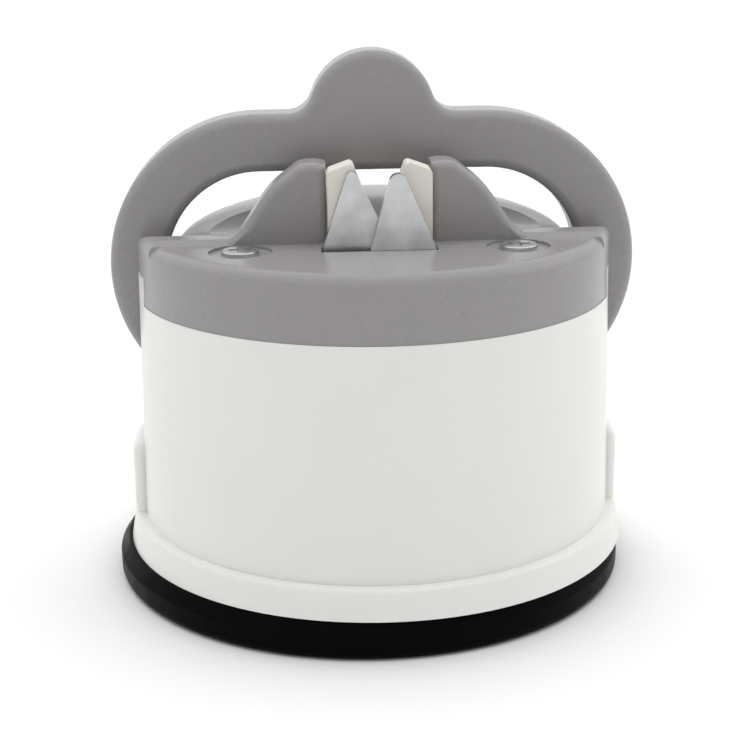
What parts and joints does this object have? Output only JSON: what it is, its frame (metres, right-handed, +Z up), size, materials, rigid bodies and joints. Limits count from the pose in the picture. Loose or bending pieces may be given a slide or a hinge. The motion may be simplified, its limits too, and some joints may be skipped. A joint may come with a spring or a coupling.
{
  "type": "suction cup knife sharpener",
  "caption": "Round tabletop knife sharpener on a black suction cup, white body, grey cap and folding oval lever, crossed blades.",
  "frame": {"origin": "centre of the rubber foot on the worktop, at the bottom of the object", "axes": "+Z up; -Y towards the blades at the front; +X to the right seen from the front, along the lever's hinge line"},
  "size_m": [0.0624, 0.062, 0.063],
  "materials": {
    "black_rubber": "satin",
    "white_plastic": "satin gloss",
    "grey_plastic": "satin gloss",
    "cream_plastic": "satin",
    "blade_metal": "ground",
    "steel": "plain"
  },
  "bodies": {
    "base": {"suction_rim": "black_rubber", "suction_membrane": "black_rubber", "return_spring": "steel", "spring_washer": "steel", "stem_bush": "cream_plastic", "base_housing": "white_plastic", "base_screws": "steel", "body_shell": "white_plastic", "top_cap": "grey_plastic", "cap_screws": "steel", "blade_holder": "cream_plastic", "blade_left": "blade_metal", "blade_right": "blade_metal", "clamp_plate": "cream_plastic", "clamp_screws": "steel", "bearing_cap_left": "white_plastic", "bearing_cap_right": "white_plastic", "bearing_screws": "steel"},
    "lever": {"lever": "grey_plastic"},
    "stem": {"stem_core": "grey_plastic", "cross_pin": "steel", "pin_clips": "steel"}
  },
  "joints": [
    {"name": "lever_fold", "type": "hinge", "parent": "base", "child": "lever", "pos_m": [0, 0, 0.0235], "axis": [-1, 0, 0], "range_deg": [0, 90]},
    {"name": "stem_lift", "type": "slide", "parent": "base", "child": "stem", "axis": [0, 0, 1], "range_m": [0, 0.003], "deforming": ["suction_membrane", "return_spring"]}
  ],
  "couplings": [
    {"joint": "stem_lift", "follows": "lever_fold", "m_per_rad": 0.0019098}
  ]
}
